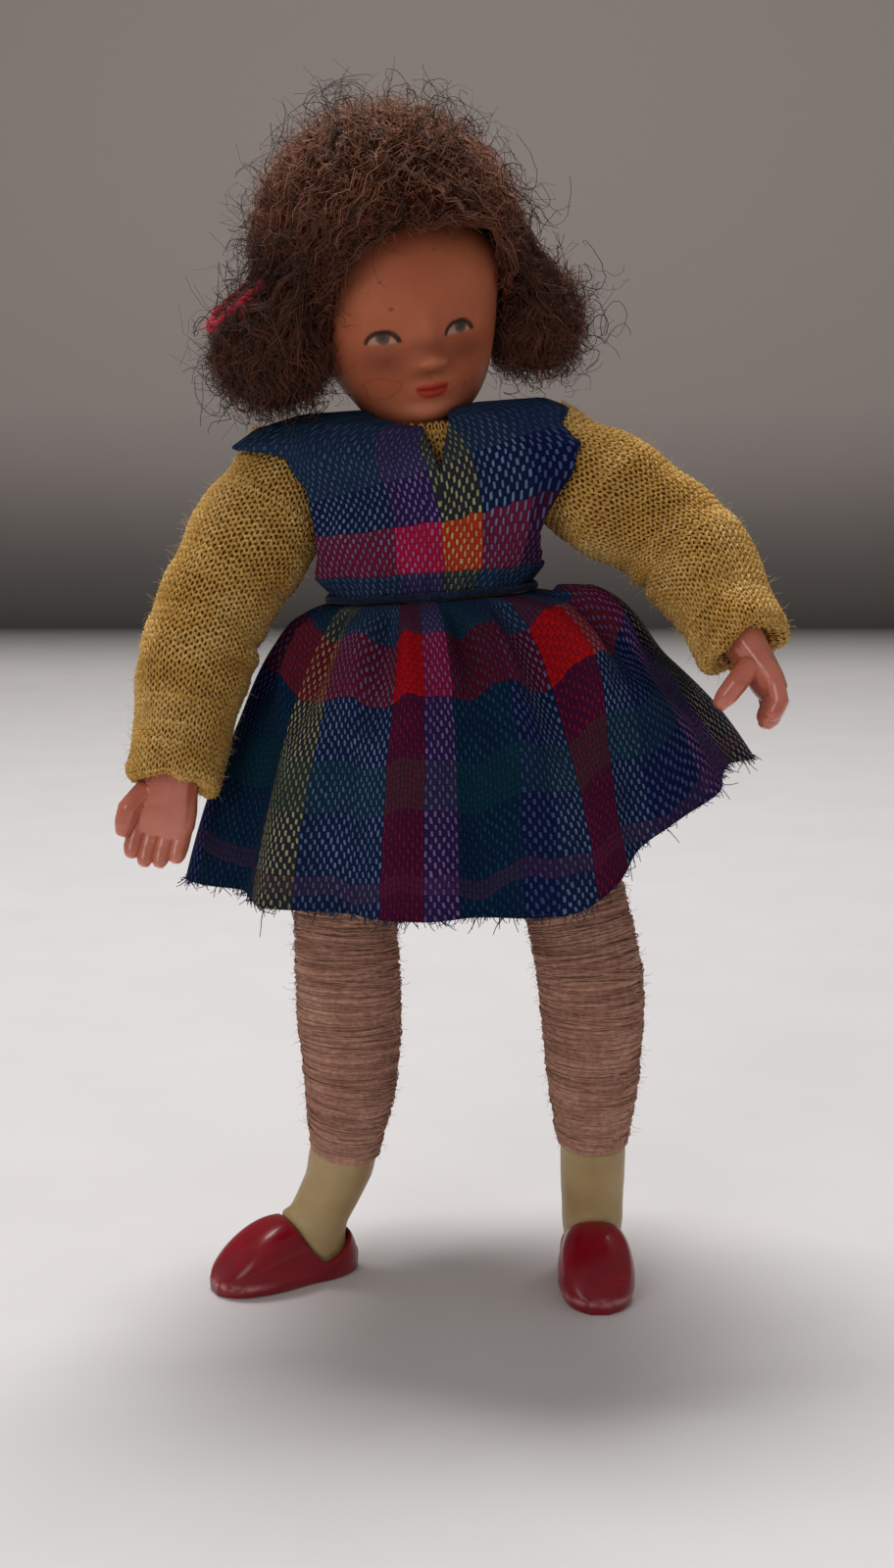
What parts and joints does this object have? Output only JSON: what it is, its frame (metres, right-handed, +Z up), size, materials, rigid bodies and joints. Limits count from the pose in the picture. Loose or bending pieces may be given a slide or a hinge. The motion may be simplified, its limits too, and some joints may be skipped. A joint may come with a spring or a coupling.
{
  "type": "miniature doll",
  "caption": "Miniature bendable girl doll: wire armature wound with yarn, moulded head, hands and feet, mohair wig, jersey jumper, plaid pinafore and slip-on shoes.",
  "frame": {"origin": "on the ground plane, under the middle of the doll's bounding box", "axes": "+Z up, the doll faces -Y, +X is the doll's left side"},
  "size_m": [0.0501, 0.0369, 0.0927],
  "materials": {
    "wire": "soft annealed wire",
    "padding": "wound cotton",
    "jersey": "fine mustard stocking-stitch jersey",
    "plaid_bodice": "plain-woven plaid cotton, navy, purple and maroon",
    "plaid_skirt": "plain-woven plaid cotton, maroon, navy, purple and olive",
    "leg_yarn": "fuzzy flesh-coloured yarn",
    "hand": "semi-gloss coral flesh, moulded",
    "face": "satin, hand-painted features",
    "plug": "cork",
    "mohair": "loose curly mohair",
    "tie_yarn": "red yarn",
    "sock": "satin cream",
    "shoe": "gloss crimson"
  },
  "bodies": {
    "trunk": {"spine_wire": "wire", "torso_padding": "padding", "jumper_body": "jersey", "dress_bodice": "plaid_bodice", "dress_skirt": "plaid_skirt"},
    "neck": {"neck_wire": "wire"},
    "head": {"head_shell": "face", "neck_plug": "plug", "wig_cap": "mohair", "wig_bunch_right": "mohair", "wig_bunch_left": "mohair", "wig_tie": "tie_yarn"},
    "shoulder_right": {"shoulder_wire_right": "wire"},
    "upper_arm_right": {"upper_arm_wire_right": "wire", "upper_arm_winding_right": "padding", "sleeve_upper_right": "jersey"},
    "forearm_right": {"forearm_wire_right": "wire", "forearm_winding_right": "padding", "sleeve_lower_right": "jersey"},
    "hand_right": {"hand_right": "hand"},
    "shoulder_left": {"shoulder_wire_left": "wire"},
    "upper_arm_left": {"upper_arm_wire_left": "wire", "upper_arm_winding_left": "padding", "sleeve_upper_left": "jersey"},
    "forearm_left": {"forearm_wire_left": "wire", "forearm_winding_left": "padding", "sleeve_lower_left": "jersey"},
    "hand_left": {"hand_left": "hand"},
    "pelvis": {"pelvis_wire": "wire", "pelvis_padding": "padding"},
    "hip_right": {"hip_wire_right": "wire"},
    "thigh_right": {"thigh_wire_right": "wire", "thigh_winding_right": "leg_yarn"},
    "shin_right": {"shin_wire_right": "wire", "shin_winding_right": "leg_yarn"},
    "foot_right": {"foot_right": "sock", "shoe_right": "shoe"},
    "hip_left": {"hip_wire_left": "wire"},
    "thigh_left": {"thigh_wire_left": "wire", "thigh_winding_left": "leg_yarn"},
    "shin_left": {"shin_wire_left": "wire", "shin_winding_left": "leg_yarn"},
    "foot_left": {"foot_left": "sock", "shoe_left": "shoe"}
  },
  "joints": [
    {"name": "neck_nod", "type": "hinge", "parent": "trunk", "child": "neck", "pos_m": [-0.00224, 0.0022, 0.06947], "axis": [-1, 0, 0], "range_deg": [-2, 20]},
    {"name": "head_turn", "type": "hinge", "parent": "neck", "child": "head", "pos_m": [-0.00224, 0.0022, 0.06947], "axis": [-0.1076, -0.2581, 0.9601], "range_deg": [-50, 50], "deforming": ["wig_bunch_right", "wig_bunch_left"]},
    {"name": "shoulder_swing_right", "type": "hinge", "parent": "trunk", "child": "shoulder_right", "pos_m": [-0.01279, 0, 0.06417], "axis": [1, 0, 0], "range_deg": [-90, 40]},
    {"name": "shoulder_spread_right", "type": "hinge", "parent": "shoulder_right", "child": "upper_arm_right", "pos_m": [-0.01279, 0, 0.06417], "axis": [0, 1, 0], "range_deg": [-10, 60], "deforming": ["sleeve_upper_right", "upper_arm_winding_right"]},
    {"name": "elbow_right", "type": "hinge", "parent": "upper_arm_right", "child": "forearm_right", "pos_m": [-0.0184, -0.004, 0.0537], "axis": [-0.8942, 0.1598, 0.4181], "range_deg": [-10, 76]},
    {"name": "wrist_right", "type": "hinge", "parent": "forearm_right", "child": "hand_right", "pos_m": [-0.0205, -0.0078, 0.0434], "axis": [0.97, 0, -0.243], "range_deg": [-20, 20]},
    {"name": "shoulder_swing_left", "type": "hinge", "parent": "trunk", "child": "shoulder_left", "pos_m": [0.00896, 0, 0.06569], "axis": [1, 0, 0], "range_deg": [-90, 40]},
    {"name": "shoulder_spread_left", "type": "hinge", "parent": "shoulder_left", "child": "upper_arm_left", "pos_m": [0.00896, 0, 0.06569], "axis": [0, -1, 0], "range_deg": [-25, 45], "deforming": ["sleeve_upper_left", "upper_arm_winding_left"]},
    {"name": "elbow_left", "type": "hinge", "parent": "upper_arm_left", "child": "forearm_left", "pos_m": [0.0179, -0.003, 0.0597], "axis": [-0.5994, -0.3585, -0.7156], "range_deg": [-15, 62]},
    {"name": "wrist_left", "type": "hinge", "parent": "forearm_left", "child": "hand_left", "pos_m": [0.0216, -0.008, 0.0534], "axis": [0.0282, -0.9523, 0.3038], "range_deg": [-20, 20]},
    {"name": "hip_bend", "type": "hinge", "parent": "trunk", "child": "pelvis", "pos_m": [-0.0007, 0, 0.0496], "axis": [-1, 0, 0], "range_deg": [-10, 60], "deforming": ["pelvis_padding", "dress_skirt"]},
    {"name": "hip_swing_right", "type": "hinge", "parent": "pelvis", "child": "hip_right", "pos_m": [-0.0067, 0, 0.0456], "axis": [-1, 0, 0], "range_deg": [-30, 30]},
    {"name": "hip_spread_right", "type": "hinge", "parent": "hip_right", "child": "thigh_right", "pos_m": [-0.0067, 0, 0.0456], "axis": [0, 1, 0], "range_deg": [-3, 25], "deforming": ["thigh_winding_right"]},
    {"name": "knee_right", "type": "hinge", "parent": "thigh_right", "child": "shin_right", "pos_m": [-0.008, -0.001, 0.0246], "axis": [1, 0, 0], "range_deg": [-5, 72]},
    {"name": "ankle_right", "type": "hinge", "parent": "shin_right", "child": "foot_right", "pos_m": [-0.0085, 0.0006, 0.0103], "axis": [0.4695, -0.8829, 0], "range_deg": [-15, 15]},
    {"name": "hip_swing_left", "type": "hinge", "parent": "pelvis", "child": "hip_left", "pos_m": [0.0057, 0, 0.0456], "axis": [-1, 0, 0], "range_deg": [-30, 30]},
    {"name": "hip_spread_left", "type": "hinge", "parent": "hip_left", "child": "thigh_left", "pos_m": [0.0057, 0, 0.0456], "axis": [0, -1, 0], "range_deg": [-3, 25], "deforming": ["thigh_winding_left"]},
    {"name": "knee_left", "type": "hinge", "parent": "thigh_left", "child": "shin_left", "pos_m": [0.0113, -0.001, 0.0258], "axis": [1, 0, 0], "range_deg": [-5, 72]},
    {"name": "ankle_left", "type": "hinge", "parent": "shin_left", "child": "foot_left", "pos_m": [0.0119, 0.0012, 0.0103], "axis": [1, 0, 0], "range_deg": [-7, 15]}
  ]
}
